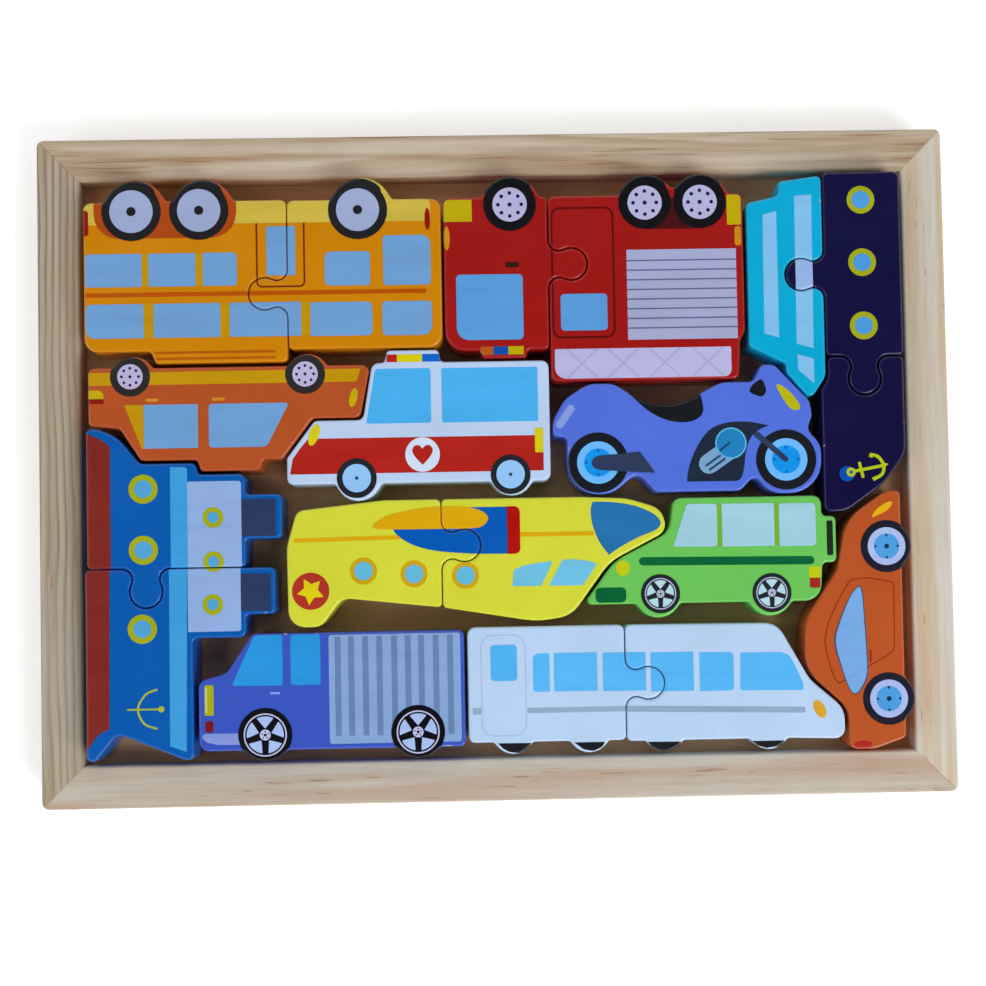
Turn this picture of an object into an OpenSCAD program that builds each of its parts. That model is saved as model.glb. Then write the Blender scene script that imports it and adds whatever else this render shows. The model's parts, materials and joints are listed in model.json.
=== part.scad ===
// Wooden tray puzzle of twelve vehicles. Nineteen thick painted blocks lie packed in a pine frame
// on a plywood floor. Six of the vehicles are cut in two or three blocks, which lock with a round
// knob in a socket, so that every block still lifts straight up.
// Lengths are in millimetres. The origin is on the table, under the middle of the tray.
// +X runs along the long rails and +Z points up, out of the tray.

/* [Tray] */
// Length of the picture that the blocks make up, its width follows in proportion
picture_length = 270; // [180:1:360]
// Free space left between the picture and the rails, on each side
side_gap = 1; // [0.6:0.1:3]
// Width of the frame's rails, seen from above
rail_width = 14; // [11:0.5:20]
// Height of the frame's rails above the table
rail_height = 15; // [12:0.5:24]
// Radius of the four outer corners of the frame, seen from above
tray_corner_radius = 3; // [1:0.5:5]
// Radius of the long edges of the rails
rail_edge_radius = 1; // [0.4:0.1:1.8]
// Thickness of the plywood floor
floor_thickness = 3; // [2:0.25:4.5]
// Height of the floor's underside above the table
floor_lift = 4; // [3:0.25:6]
// Depth of the groove that holds the floor in each rail
groove_depth = 3; // [2:0.25:5]
// Play of the floor in its groove, on each face
groove_play = 0.1; // [0.05:0.05:0.3]

/* [Blocks] */
// Thickness of every block
block_thickness = 15; // [10:0.5:24]
// Width of the saw cut between two blocks of one vehicle
saw_gap = 0.3; // [0.2:0.05:0.5]
// Radius of the eased rim round each block's upper face
rim_radius = 0.9; // [0.5:0.05:1.1]
// Bevel round each block's underside
underside_bevel = 0.5; // [0.2:0.05:0.8]
// How far a locking knob reaches past its block's edge
knob_reach = 12.7; // [11.5:0.1:14]
// Radius of a knob's round head
knob_head_radius = 5.3; // [4.8:0.05:5.6]
// Width of a knob's neck where it is narrowest
knob_neck = 8.7; // [7.5:0.1:9.4]

/* [Corner brads] */
// Length of the brads that pin the mitred corners
brad_length = 18; // [14:0.5:24]
// Diameter of a brad's shank
brad_diameter = 1.2; // [0.9:0.1:1.8]
// Diameter of a brad's head
brad_head_diameter = 2.2; // [1.9:0.1:3]
// Thickness of a brad's head
brad_head_thickness = 0.8; // [0.5:0.1:1.2]
// Distance from a brad's axis to the outer face of the rail that it runs along
brad_setback = 5; // [4.5:0.25:8]
// Play round a brad in its hole
brad_play = 0.05; // [0.02:0.01:0.1]

/* [Hidden] */
// How far a cut runs past the face that it opens
overrun = 1;
// Flatness that the short sides of a round stretch of outline keep to
curve_flatness = 0.06;
// Radius that is left at the tightest outer corner of a block where its rim meets the upper face
rim_corner_radius = 0.1;
$fn = 96;

// The picture is drawn on a sheet this many shares long and wide, from its middle
sheet_length_shares = 270;
sheet_width_shares = 190;
share = picture_length / sheet_length_shares;
picture_width = sheet_width_shares * share;
opening_length = picture_length + 2 * side_gap;
opening_width = picture_width + 2 * side_gap;
tray_length = opening_length + 2 * rail_width;
tray_width = opening_width + 2 * rail_width;
floor_top = floor_lift + floor_thickness;
// Part of the arc of a wheel that shows past its vehicle's straight edge before the edge bends in
wheel_wrap_share = 0.8;
// Radius of the bend where a wheel meets that edge
wheel_foot_share = 1.2;
// Heights of the two brads of a corner, as shares of the rail's height
brad_height_shares = [0.3, 0.7];

// Places of the seven locking joints and the way each knob points
bus_joint_shares = [-67, 56.5, 180];
engine_joint_shares = [18, 64.8, 0];
liner_side_joint_shares = [108, 60.2, 180];
liner_bow_joint_shares = [120.6, 33.1, 270];
steamer_joint_shares = [-113.8, -32.2, 270];
aeroplane_joint_shares = [-18.4, -26.4, 0];
train_joint_shares = [40.3, -72, 0];

// Outlines, run anticlockwise as seen from above. A row of three is a corner and its radius.
// A wheel row gives centre, radius, the way it bulges, and the distance from its centre
// to the edge before it and after it. A knob or socket row names its joint.
bus_rear_shares = [
    [-133, 38, 4.5], [-111.6, 38, 1.2], [-110, 34, 1.3], [-67, 34, 1.6],
    ["socket", bus_joint_shares], [-67, 87.3, 2.2],
    ["wheel", -94, 84, 10.2, 90, 3.3, 3.3], ["wheel", -116, 84, 10.2, 90, 3.3, 3],
    [-133, 87, 2.6]
];
bus_front_shares = [
    [-67, 38, 1.6], [-16.7, 38, 4.5], [-16.7, 87, 3],
    ["wheel", -42.7, 84, 10.2, 90, 3, 3], [-67, 87, 2.2], ["knob", bus_joint_shares]
];
fire_engine_cab_shares = [
    [-16.2, 36.8, 6.5], [-5, 36.8, 1.2], [-3.8, 34.1, 1.2], [10.2, 34.1, 1.2],
    [11, 36.8, 1.2], [18, 36.8, 1.6], ["knob", engine_joint_shares], [18, 87.2, 1.6],
    ["wheel", 6, 84.2, 9.7, 90, 3, 3], [-16.2, 87.2, 2.6]
];
fire_engine_body_shares = [
    [18, 26.2, 2.6], [79.6, 26.2, 2], [80.2, 38.6, 4], [82, 42, 4], [82, 87.5, 2.6],
    ["wheel", 68, 84.4, 9.5, 90, 3.1, 5.2], ["wheel", 50.4, 84.4, 9.5, 90, 5.2, 2.9],
    [18, 87.3, 2.2], ["socket", engine_joint_shares]
];
liner_cabin_shares = [
    [94.8, 27.9, 2], [102.7, 18.7, 2.3], [108, 26.6, 5], ["socket", liner_side_joint_shares],
    [108, 93, 1.8], [93.6, 91, 1.4], [93.5, 86.4, 1.2], [82.8, 84, 1.8], [82.8, 36.7, 1.8],
    [94.7, 30.9, 1.2]
];
liner_stern_shares = [
    [108, 33.1, 1.8], ["knob", liner_bow_joint_shares], [133.7, 33.1, 1.8], [133.7, 94, 2.4],
    [108, 93.8, 1.8], ["knob", liner_side_joint_shares]
];
liner_bow_shares = [
    [106.1, -17.9, 2.4], [113.5, -17.9, 9], [126.2, -8.8, 22], [133.5, 1, 9],
    [133.5, 33.1, 1.8], ["socket", liner_bow_joint_shares], [108.4, 33.1, 1.6],
    [108.5, 26.3, 5.4], [106.1, 22.2, 2]
];
taxi_shares = [
    [-131.9, 14.1, 1.6], [-121.9, 13.1, 2], [-115.1, 2.6, 1.8], [-97, 2.6, 1.2],
    [-95.9, -1.1, 1.4], [-76.5, -1.1, 1.6], [-75.6, 2.4, 1.2], [-69.3, 2.4, 1.8],
    [-59.3, 15.5, 2], [-43.9, 15.5, 2.4], [-40.3, 33, 2.4],
    ["wheel", -60.9, 29.8, 7.1, 90, 3.2, 3.2], ["wheel", -117.2, 29.7, 7.1, 90, 3.3, 3.5],
    [-131.9, 33.2, 2.2]
];
ambulance_shares = [
    [-68.1, -6, 2], ["wheel", -44.9, -4, 7.6, 270, 2, 2],
    ["wheel", 4.7, -3.4, 7.3, 270, 2.6, 2.6], [17.6, -6, 2.6], [17.6, 33.5, 2.5],
    [-17.5, 33.5, 1.2], [-18.3, 37.5, 1.5], [-35.2, 37.5, 1.5], [-36, 33.5, 1.2],
    [-40.1, 33.5, 2.8], [-43.3, 15, 2], [-58.9, 15, 2.4], [-68.1, 2.8, 2.2]
];
motorcycle_shares = [
    [22.8, 7.9, 1.4], [22.8, -10.8, 10.2], [37.4, -10.8, 9.8], [45.6, -3.9, 3],
    [51.4, -10.4, 3], [79.2, -10.4, 2.8], [84, -5.2, 2], [87.9, -11.5, 8.6],
    [105.9, -11.5, 10.6], [105.9, 4.4, 7], [101.5, 9.4, 2.4], [103.2, 14, 3], [102.4, 18.8, 3.2],
    [91, 31, 3], [86.6, 31, 2.2], [84, 25.4, 2.4], [73.6, 25.5, 8], [66.4, 21.8, 1.4],
    [55, 14.8, 19], [38.4, 25.6, 7], [30.2, 25.6, 8.5], [22.4, 20.8, 10], [18.3, 13.6, 6],
    [18.2, 8.6, 1.5]
];
steamer_stern_shares = [
    [-132.8, -32.2, 1.6], ["knob", steamer_joint_shares], [-81.4, -32.2, 1.5],
    [-81.4, -23.2, 1.2], [-69.7, -23.2, 1.8], [-69.7, -8.5, 1.8], [-81.4, -8.5, 1.2],
    [-81.4, -1.8, 2.2], [-96.5, -1.8, 1.2], [-97.6, 1.9, 1.8], [-115.4, 1.9, 3],
    [-122.4, 10.6, 12], [-128.6, 13.4, 7], [-132.8, 13.4, 2]
];
steamer_bow_shares = [
    [-133.5, -94, 1.8], [-130.4, -94, 1.5], [-123.3, -85.3, 2.6], [-102, -94, 3],
    [-98.8, -94, 1.8], [-98.8, -55, 1.6], [-81.6, -55, 2.2], [-81.6, -47.6, 1.2],
    [-72.1, -47.6, 1.8], [-72.1, -32.2, 1.8], ["socket", steamer_joint_shares],
    [-133.5, -32.2, 1.6]
];
aeroplane_tail_shares = [
    [-68.3, -52.2, 5.6], [-57.6, -52.2, 4.8], [-50.6, -43, 4.4], [-18.4, -46.6, 1.6],
    ["knob", aeroplane_joint_shares], [-18.4, -11.2, 1.6], [-37, -11.2, 12],
    [-65.2, -14.2, 3.4], [-68.6, -26, 14]
];
aeroplane_nose_shares = [
    [-18.4, -46.6, 1.6], [12.2, -51.7, 26], [23.4, -50, 10], [36.2, -32.7, 17],
    [55.1, -23, 4.4], [53.3, -15.4, 6.5], [42, -11.9, 16], [27, -11.2, 24],
    [-18.4, -11.2, 1.6], ["socket", aeroplane_joint_shares]
];
estate_car_shares = [
    [26.9, -46.6, 1.6], ["wheel", 51.5, -43.5, 7.7, 270, 3.1, 3.1],
    ["wheel", 87.9, -43.5, 7.7, 270, 3.1, 3.1], [104.6, -46.6, 5.6], [105.4, -34.2, 1.4],
    [110, -34.2, 1.8], [110, -18.8, 1.8], [105.4, -18.8, 1.4], [105.4, -12.1, 2.8],
    [57, -12.1, 3], [55.4, -23.2, 6], [37.4, -32.3, 16]
];
lorry_shares = [
    [-97.5, -91.4, 3.6], ["wheel", -75.7, -86, 8.8, 270, 5.4, 5.4],
    ["wheel", -26.6, -86, 8.8, 270, 5.4, 5.4], [-11.5, -91.4, 1.8], [-11.5, -53.6, 2.2],
    [-79.8, -53.6, 2.4], [-88.4, -66.2, 3.4], [-97.5, -68.6, 3.2]
];
train_rear_shares = [
    [-10.8, -90.4, 2.2], ["wheel", 3.8, -87.2, 7, 270, 3.2, 3.2],
    ["wheel", 28.3, -87.2, 7, 270, 3.2, 3.2], [40.3, -90.4, 1.8],
    ["knob", train_joint_shares], [40.3, -52.9, 2], [-10.8, -52.9, 2.8]
];
train_nose_shares = [
    [40.3, -90.8, 1.8], ["wheel", 52.6, -87.3, 7, 270, 3.5, 3.5],
    ["wheel", 86.4, -87.3, 7, 270, 3.5, 3.5], [111.4, -91.4, 3.4], [111.4, -81.4, 8],
    [100.3, -71.8, 10], [89.9, -53.2, 7], [40.3, -52.9, 2], ["socket", train_joint_shares]
];
sports_car_shares = [
    [112.4, -94.9, 3], [121, -94.9, 8], [131.2, -91.4, 2.2],
    ["wheel", 125.7, -78.5, 8.7, 0, 5.5, 5.5], ["wheel", 125.9, -29.1, 8.5, 0, 5.3, 5.3],
    [131.2, -10.9, 1.6], [126.4, -10.9, 6], [113, -20, 15], [109.9, -36.4, 8],
    [98.9, -52.6, 14], [98.4, -68.8, 13], [112.4, -81.7, 8]
];

// Direction of an angle, and the quarter turn to the left of a direction
function way(angle) = [cos(angle), sin(angle)];
function left_of(v) = [-v[1], v[0]];
function plan(p) = [p[0], p[1]];
function angle_of(v) = atan2(v[1], v[0]);

// Radius of the bend at a knob's root, which touches the edge, the neck's width and the head
function knob_root_radius() =
    let (
        middle = knob_reach - knob_head_radius,
        b = 2 * knob_reach - knob_neck,
        c = knob_neck * knob_neck / 4 + middle * middle - knob_head_radius * knob_head_radius
    )
    (b - sqrt(b * b - 4 * c)) / 2;

// A round bulge on an edge: its foot, the corners of the arc with the arc's own radius, its foot.
// c is the centre and out the way it bulges, wraps and bases are the angles from out
// at which the arc ends and the distances from c to the edge, before and after
function bulge(c, radius, out, wraps, bases, foot_radius, pieces) =
    let (
        n = way(out),
        t = left_of(n),
        span = (wraps[0] + wraps[1]) / pieces,
        foot = [for (i = [0, 1]) (radius - bases[i] * cos(wraps[i])) / sin(wraps[i])],
        first = c + n * bases[0] - t * foot[0],
        last = c + n * bases[1] + t * foot[1],
        arc = [for (i = [0 : pieces - 1])
            let (
                a = (i + 0.5) * span - wraps[0],
                p = c + (n * cos(a) + t * sin(a)) * radius / cos(span / 2)
            )
            [p[0], p[1], radius]]
    )
    concat([[first[0], first[1], foot_radius]], arc, [[last[0], last[1], foot_radius]]);

function wheel_corners(row) =
    let (
        radius = row[3] * share,
        bases = [row[5] * share, row[6] * share],
        wraps = [for (b = bases) wheel_wrap_share * acos(b / radius)]
    )
    bulge([row[1], row[2]] * share, radius, row[4], wraps, bases, wheel_foot_share * share, 2);

function knob_corners(joint) =
    let (
        middle = knob_reach - knob_head_radius,
        root = knob_root_radius(),
        wrap = acos((root - middle) / (root + knob_head_radius)),
        c = plan(joint) * share + way(joint[2]) * middle
    )
    bulge(c, knob_head_radius, joint[2], [wrap, wrap], [-middle, -middle], root, 4);

function reversed(list) = [for (i = [len(list) - 1 : -1 : 0]) list[i]];

function row_corners(row) =
    row[0] == "wheel" ? wheel_corners(row) :
    row[0] == "knob" ? knob_corners(row[1]) :
    row[0] == "socket" ? reversed(knob_corners(row[1])) :
    [row * share];

function corners(table) = [for (row = table) each row_corners(row)];

// Points of the rounded corner b between a and c, drawn in from the outline by inset. An outer
// corner is never tighter than the rim that runs round it.
function bend(a, b, c, inset) =
    let (
        before = angle_of(plan(b) - plan(a)),
        swing = angle_of(plan(c) - plan(b)) - before,
        turn = swing > 180 ? swing - 360 : swing < -180 ? swing + 360 : swing,
        side = sign(turn),
        radius = side > 0 ? max(b[2], saw_gap / 2 + rim_radius + rim_corner_radius) : b[2],
        centre = plan(b) - way(before) * radius * tan(abs(turn) / 2)
            + left_of(way(before)) * side * radius,
        steps = max(1, ceil(abs(turn) / (2 * acos(1 - curve_flatness / radius))))
    )
    [for (i = [0 : steps])
        centre + way(before - side * 90 + turn * i / steps) * (radius - side * inset)];

function bends(list, inset) =
    let (n = len(list))
    [for (i = [0 : n - 1]) each bend(list[(i + n - 1) % n], list[i], list[(i + 1) % n], inset)];

// The closed outline, with one point where the end of a bend meets the start of the next
function outline(list, inset) =
    let (
        drawn = bends(list, 0),
        moved = bends(list, inset),
        n = len(drawn)
    )
    [for (i = [0 : n - 1]) if (norm(drawn[i] - drawn[(i + n - 1) % n]) > curve_flatness) moved[i]];

// Whether p lies in the triangle t or on its edge, where t runs anticlockwise
function covers(t, p) =
    min([for (k = [0 : 2]) cross(t[(k + 1) % 3] - t[k], p - t[k])]) >= 0;

// Triangles that fill a flat ring. Each cuts off a corner that holds no other point of the ring,
// and left lists the points that remain
function fill(ring, left, done = []) =
    len(left) < 3 ? done :
    let (
        tip = [for (k = [0 : 2]) left[k]],
        rest = [for (k = [3 : 1 : len(left) - 1]) left[k]],
        t = [for (i = tip) plan(ring[i])],
        free = cross(t[1] - t[0], t[2] - t[1]) > 0
            && len([for (i = rest) if (covers(t, plan(ring[i]))) i]) == 0
    )
    free ? fill(ring, concat([tip[2]], rest, [tip[0]]), concat(done, [tip]))
        : fill(ring, concat([tip[1], tip[2]], rest, [tip[0]]), done);

// A solid between rings of equally many points, closed by the first ring and the last
module loft(rings) {
    n = len(rings[0]);
    layers = len(rings);
    points = [for (ring = rings) each ring];
    walls = [for (k = [0 : layers - 2], i = [0 : n - 1])
        [k * n + i, (k + 1) * n + i, (k + 1) * n + (i + 1) % n, k * n + (i + 1) % n]];
    order = [for (i = [0 : n - 1]) i];
    bottom = fill(rings[0], order);
    top = [for (t = fill(rings[layers - 1], order)) [t[2], t[1], t[0]]
        + [1, 1, 1] * (layers - 1) * n];
    polyhedron(points = points, faces = concat(bottom, walls, top), convexity = 10);
}

// One block: straight sawn walls, a bevel underneath and a rounded rim above
module block(table) {
    list = corners(table);
    cut = saw_gap / 2;
    half_way = rim_radius * (1 - cos(45));
    levels = [
        [0, underside_bevel],
        [underside_bevel, 0],
        [block_thickness - rim_radius, 0],
        [block_thickness - half_way, half_way],
        [block_thickness, rim_radius]
    ];
    rings = [for (level = levels)
        [for (p = outline(list, cut + level[1])) [p[0], p[1], floor_top + level[0]]]];
    loft(rings);
}

// What rounding takes off the corner at the origin of a shape that lies in +X and +Y
module rounding_waste(radius) {
    difference() {
        translate([-overrun, -overrun]) square(radius + overrun);
        translate([radius, radius]) circle(radius);
    }
}

// Cross-section of a rail, its outer face on the left
module rail_section() {
    difference() {
        square([rail_width, rail_height]);
        rounding_waste(rail_edge_radius);
        translate([0, rail_height]) mirror([0, 1]) rounding_waste(rail_edge_radius);
        translate([rail_width, rail_height]) rotate(180) rounding_waste(rail_edge_radius);
        translate([rail_width, 0]) mirror([1, 0]) rounding_waste(rail_edge_radius);
        translate([rail_width - groove_depth, floor_lift - groove_play])
            square([groove_depth + overrun, floor_thickness + 2 * groove_play]);
    }
}

// A rail seen from above, mitred at both ends, with the frame's rounded corners
module rail_plan(length) {
    difference() {
        polygon([[0, 0], [length, 0], [length - rail_width, rail_width], [rail_width, rail_width]]);
        rounding_waste(tray_corner_radius);
        translate([length, 0]) mirror([1, 0]) rounding_waste(tray_corner_radius);
    }
}

// A rail that runs along +X from the origin, its outer face at the front
module rail(length) {
    intersection() {
        rotate([90, 0, 90]) linear_extrude(length) rail_section();
        linear_extrude(rail_height) rail_plan(length);
    }
}

// A brad that starts at the origin and runs along +X, grown by play all round
module brad(play) {
    rotate([0, 90, 0]) {
        cylinder(h = brad_length + play, d = brad_diameter + 2 * play);
        cylinder(h = brad_head_thickness + play, d = brad_head_diameter + 2 * play);
    }
}

// The eight brads, two through each mitred corner from the short rails' outer faces
module brads(play) {
    for (side = [0, 1], face = [0, 1], height_share = brad_height_shares)
        mirror([side, 0, 0]) mirror([0, face, 0])
            translate([
                -tray_length / 2,
                brad_setback - tray_width / 2,
                height_share * rail_height
            ]) brad(play);
}

// A rail set in the frame, with its brads' holes
module framed_rail(length, turn, out) {
    difference() {
        rotate(turn) translate([-length / 2, -out]) rail(length);
        brads(brad_play);
    }
}

module front_rail() {
    color("#CDBFA6") framed_rail(tray_length, 0, tray_width / 2);
}

module back_rail() {
    color("#CBBEA8") framed_rail(tray_length, 180, tray_width / 2);
}

module left_rail() {
    color("#B5A793") framed_rail(tray_width, 270, tray_length / 2);
}

module right_rail() {
    color("#C6B89F") framed_rail(tray_width, 90, tray_length / 2);
}

module floor_board() {
    tongue = 2 * (groove_depth - groove_play);
    board_length = opening_length + tongue;
    board_width = opening_width + tongue;
    color("#B9A688")
        translate([-board_length / 2, -board_width / 2, floor_lift])
            cube([board_length, board_width, floor_thickness]);
}

module corner_brads() {
    color("#9A9A98") brads(0);
}

module bus_rear() {
    color("#CF8500") block(bus_rear_shares);
}

module bus_front() {
    color("#CF8500") block(bus_front_shares);
}

module fire_engine_cab() {
    color("#A01417") block(fire_engine_cab_shares);
}

module fire_engine_body() {
    color("#A01417") block(fire_engine_body_shares);
}

module liner_cabin() {
    color("#00AED8") block(liner_cabin_shares);
}

module liner_stern() {
    color("#17124A") block(liner_stern_shares);
}

module liner_bow() {
    color("#17124A") block(liner_bow_shares);
}

module taxi() {
    color("#B04E22") block(taxi_shares);
}

module ambulance() {
    color("#BBD0EE") block(ambulance_shares);
}

module motorcycle() {
    color("#5169D8") block(motorcycle_shares);
}

module steamer_stern() {
    color("#0059B0") block(steamer_stern_shares);
}

module steamer_bow() {
    color("#0059B0") block(steamer_bow_shares);
}

module aeroplane_tail() {
    color("#D8DF2C") block(aeroplane_tail_shares);
}

module aeroplane_nose() {
    color("#D8DF2C") block(aeroplane_nose_shares);
}

module estate_car() {
    color("#6CC558") block(estate_car_shares);
}

module lorry() {
    color("#3E55C5") block(lorry_shares);
}

module train_rear() {
    color("#BBD3F0") block(train_rear_shares);
}

module train_nose() {
    color("#BBD3F0") block(train_nose_shares);
}

module sports_car() {
    color("#C0571F") block(sports_car_shares);
}

left_rail();
right_rail();
front_rail();
back_rail();
floor_board();
corner_brads();
bus_rear();
bus_front();
fire_engine_cab();
fire_engine_body();
liner_cabin();
liner_stern();
liner_bow();
taxi();
ambulance();
motorcycle();
steamer_stern();
steamer_bow();
aeroplane_tail();
aeroplane_nose();
estate_car();
lorry();
train_rear();
train_nose();
sports_car();
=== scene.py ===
"""Wooden tray puzzle: nineteen printed vehicle blocks in a pinned pine tray.

Lengths are metres. Artwork is placed in plan units from the tray's middle: one plan unit is one
three-hundredth of the tray's length, so a millimetre at its standard size. Each block is cut out
again from its CAD outline with a rounder rim, lacquered, and printed: a print is a stencil cut
from a skin of the block, one ink film thicker for each pass of the press.
"""

import json
import math
from contextlib import contextmanager
from functools import partial

import bmesh
import bpy
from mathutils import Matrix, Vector

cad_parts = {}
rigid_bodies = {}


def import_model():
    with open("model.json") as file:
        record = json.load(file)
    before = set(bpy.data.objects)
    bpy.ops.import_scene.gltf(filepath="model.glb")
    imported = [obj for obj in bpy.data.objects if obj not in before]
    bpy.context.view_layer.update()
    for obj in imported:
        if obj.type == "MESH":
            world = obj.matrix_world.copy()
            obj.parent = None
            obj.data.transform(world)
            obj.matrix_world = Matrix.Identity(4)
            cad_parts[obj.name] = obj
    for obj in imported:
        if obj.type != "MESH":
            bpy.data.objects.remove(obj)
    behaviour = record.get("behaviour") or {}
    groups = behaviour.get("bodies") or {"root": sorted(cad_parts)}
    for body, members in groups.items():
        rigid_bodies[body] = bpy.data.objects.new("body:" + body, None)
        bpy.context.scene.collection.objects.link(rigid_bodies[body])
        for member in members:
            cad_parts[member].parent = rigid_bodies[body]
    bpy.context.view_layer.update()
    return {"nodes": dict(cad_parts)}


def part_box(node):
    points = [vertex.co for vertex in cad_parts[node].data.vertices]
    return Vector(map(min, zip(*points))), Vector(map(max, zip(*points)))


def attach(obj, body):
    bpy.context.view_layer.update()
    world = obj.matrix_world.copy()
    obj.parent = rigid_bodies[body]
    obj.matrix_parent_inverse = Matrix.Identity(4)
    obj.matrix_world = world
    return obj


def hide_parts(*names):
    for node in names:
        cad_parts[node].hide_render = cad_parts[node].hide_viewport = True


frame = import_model()

MM = 0.001
PLAN = (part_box("right_rail")[1].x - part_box("left_rail")[0].x) / 300
BLOCK_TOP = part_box("taxi")[1].z

# Blocks: the sanded rim, the eased foot and the film that each pass of the press leaves
RIM = 0.9 * MM
RIM_STEPS = 4
FOOT = 0.5 * MM
WELD = 0.01 * MM
INK_FILM = 0.04 * MM
PRINT_WRAP = 0.5 * MM
STENCIL_LIFT = 1.5 * MM
SOFT_EDGE = math.radians(40)
# A face whose normal rises by this share of its length is level
LEVEL = 0.999
# How far below the top the chips in a rim's lacquer start, are full, fade again and end
CHIPS_START, CHIPS_FULL, CHIPS_FADE, CHIPS_END = 0.62 * MM, 0.3 * MM, 0.12 * MM, 0.03 * MM
# How readily the lacquer chips, and the lorry's, which is more worn
WEAR, LORRY_WEAR = 0.02, 0.07

# Artwork: steps of a round corner, of a circle, of a curve between two of its points and of a
# stroke's round end
CORNER_STEPS = 5
CIRCLE_STEPS = 72
CURVE_STEPS = 5
END_STEPS = 8

# Degrees round a tyre at a block's edge between which its black runs out over the rim, partly as
# the tyre's ink and partly as painted shade on the side of the rim that faces away from the
# lamps, and over which it fades in and out
TYRE_SHADE_BRIM_START = 36
TYRE_SHADE_BRIM_END = 160
TYRE_SHADE_BRIM_FADE = 10

# Spoked wheels, in shares of the tyre's radius: the bright ring, its line and the hub; the lights
# between the spokes, from tip to rim, and their corners; the ring of nuts, a nut and the middle
GLEAM_RING, GLEAM_LINE, HUB = 0.8, 0.05, 0.2
LIGHT_TIP, LIGHT_RIM, LIGHT_CORNER = 0.24, 0.69, 0.03
NUT_RING, NUT, HUB_MIDDLE = 0.125, 0.028, 0.055

# Blender's wave texture repeats after this over its scale
WAVE_PERIOD = 0.314
WHITE = "#FFFFFF"


# ---------------------------------------------------------------- editing


def hold(piece):
    """Makes piece the only selected object and the active one."""
    bpy.ops.object.select_all(action="DESELECT")
    piece.select_set(True)
    bpy.context.view_layer.objects.active = piece


def edit(piece):
    """Opens piece in edit mode with everything selected."""
    hold(piece)
    bpy.ops.object.mode_set(mode="EDIT")
    bpy.ops.mesh.select_mode(type="VERT")
    bpy.ops.mesh.select_all(action="SELECT")


def leave():
    """Closes edit mode."""
    bpy.ops.object.mode_set(mode="OBJECT")


def leave_closed():
    """Turns every face of the open piece outwards and closes edit mode."""
    bpy.ops.mesh.select_all(action="SELECT")
    bpy.ops.mesh.normals_make_consistent(inside=False)
    leave()


def pick(kind, wanted):
    """Selects only the vertices, edges or faces of the open piece that wanted accepts."""
    bpy.ops.mesh.select_mode(type=kind)
    bpy.ops.mesh.select_all(action="DESELECT")
    mesh = bpy.context.object.data
    shape = bmesh.from_edit_mesh(mesh)
    for element in {"VERT": shape.verts, "EDGE": shape.edges, "FACE": shape.faces}[kind]:
        if wanted(element):
            element.select_set(True)
    shape.select_flush_mode()
    bmesh.update_edit_mesh(mesh)


def copied(piece, name):
    """A copy of piece with its own mesh and no ties to the frame."""
    made = bpy.data.objects.new(name, piece.data.copy())
    bpy.context.collection.objects.link(made)
    return made


def taken_up(node, name):
    """A copy of the CAD piece, welded, without materials, and open in edit mode."""
    piece = copied(frame["nodes"][node], name)
    piece.data.materials.clear()
    edit(piece)
    bpy.ops.mesh.customdata_custom_splitnormals_clear()
    bpy.ops.mesh.remove_doubles(threshold=WELD)
    return piece


def drop(piece):
    """Deletes a piece that was only a tool."""
    bpy.data.meshes.remove(piece.data)


def applied(piece, kind, **settings):
    """Adds one modifier to piece and applies it."""
    hold(piece)
    modifier = piece.modifiers.new(kind.lower(), kind)
    for key, value in settings.items():
        setattr(modifier, key, value)
    bpy.ops.object.modifier_apply(modifier=modifier.name)


def smoothed(piece):
    """Soft shading round the rims, with the wide flat faces kept flat."""
    hold(piece)
    bpy.ops.object.shade_smooth_by_angle(angle=SOFT_EDGE)
    applied(piece, "WEIGHTED_NORMAL", keep_sharp=True)


# ---------------------------------------------------------------- materials


def linear(colour, light=1.0):
    """An sRGB hex colour as linear RGBA, light times as bright."""
    values = [int(colour[i : i + 2], 16) / 255 for i in (1, 3, 5)]
    straight = [v / 12.92 if v <= 0.04045 else ((v + 0.055) / 1.055) ** 2.4 for v in values]
    return (*[min(v * light, 1.0) for v in straight], 1.0)


def add_node(tree, kind, inputs=(), stops=(), **settings):
    """Adds a node with its settings, its inputs by name or in their order, and a ramp's stops. An
    input is a value, a socket to link, or a node, whose first live output is linked. In a
    MapRange's order the range that the value comes from is followed by the one it goes to."""
    made = tree.nodes.new("ShaderNode" + kind)
    for key, value in settings.items():
        setattr(made, key, value)
    for key, value in inputs.items() if isinstance(inputs, dict) else enumerate(inputs):
        if isinstance(value, bpy.types.Node):
            value = next(output for output in value.outputs if output.enabled)
        if isinstance(value, bpy.types.NodeSocket):
            tree.links.new(value, made.inputs[key])
        else:
            made.inputs[key].default_value = value
    for index, (position, colour) in enumerate(stops):
        ends = made.color_ramp.elements
        end = ends[index] if index < len(ends) else ends.new(position)
        end.position, end.color = position, colour
    return made


def blank(name):
    """A new material without nodes, what adds a node to it, and its object coordinates."""
    material = bpy.data.materials.new(name)
    material.use_nodes = True
    material.node_tree.nodes.clear()
    add = partial(add_node, material.node_tree)
    return material, add, add("TexCoord").outputs["Object"]


def fibrous(add, place, long, wide, detail, grain="X"):
    """Noise in cells that are long with the grain and wide across it."""
    scale = [1 / wide] * 3
    scale["XY".index(grain)] = 1 / long
    squeezed = add("Mapping", {"Vector": place, "Scale": scale})
    return add("TexNoise", {"Vector": squeezed, "Scale": 1.0, "Detail": detail})


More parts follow.
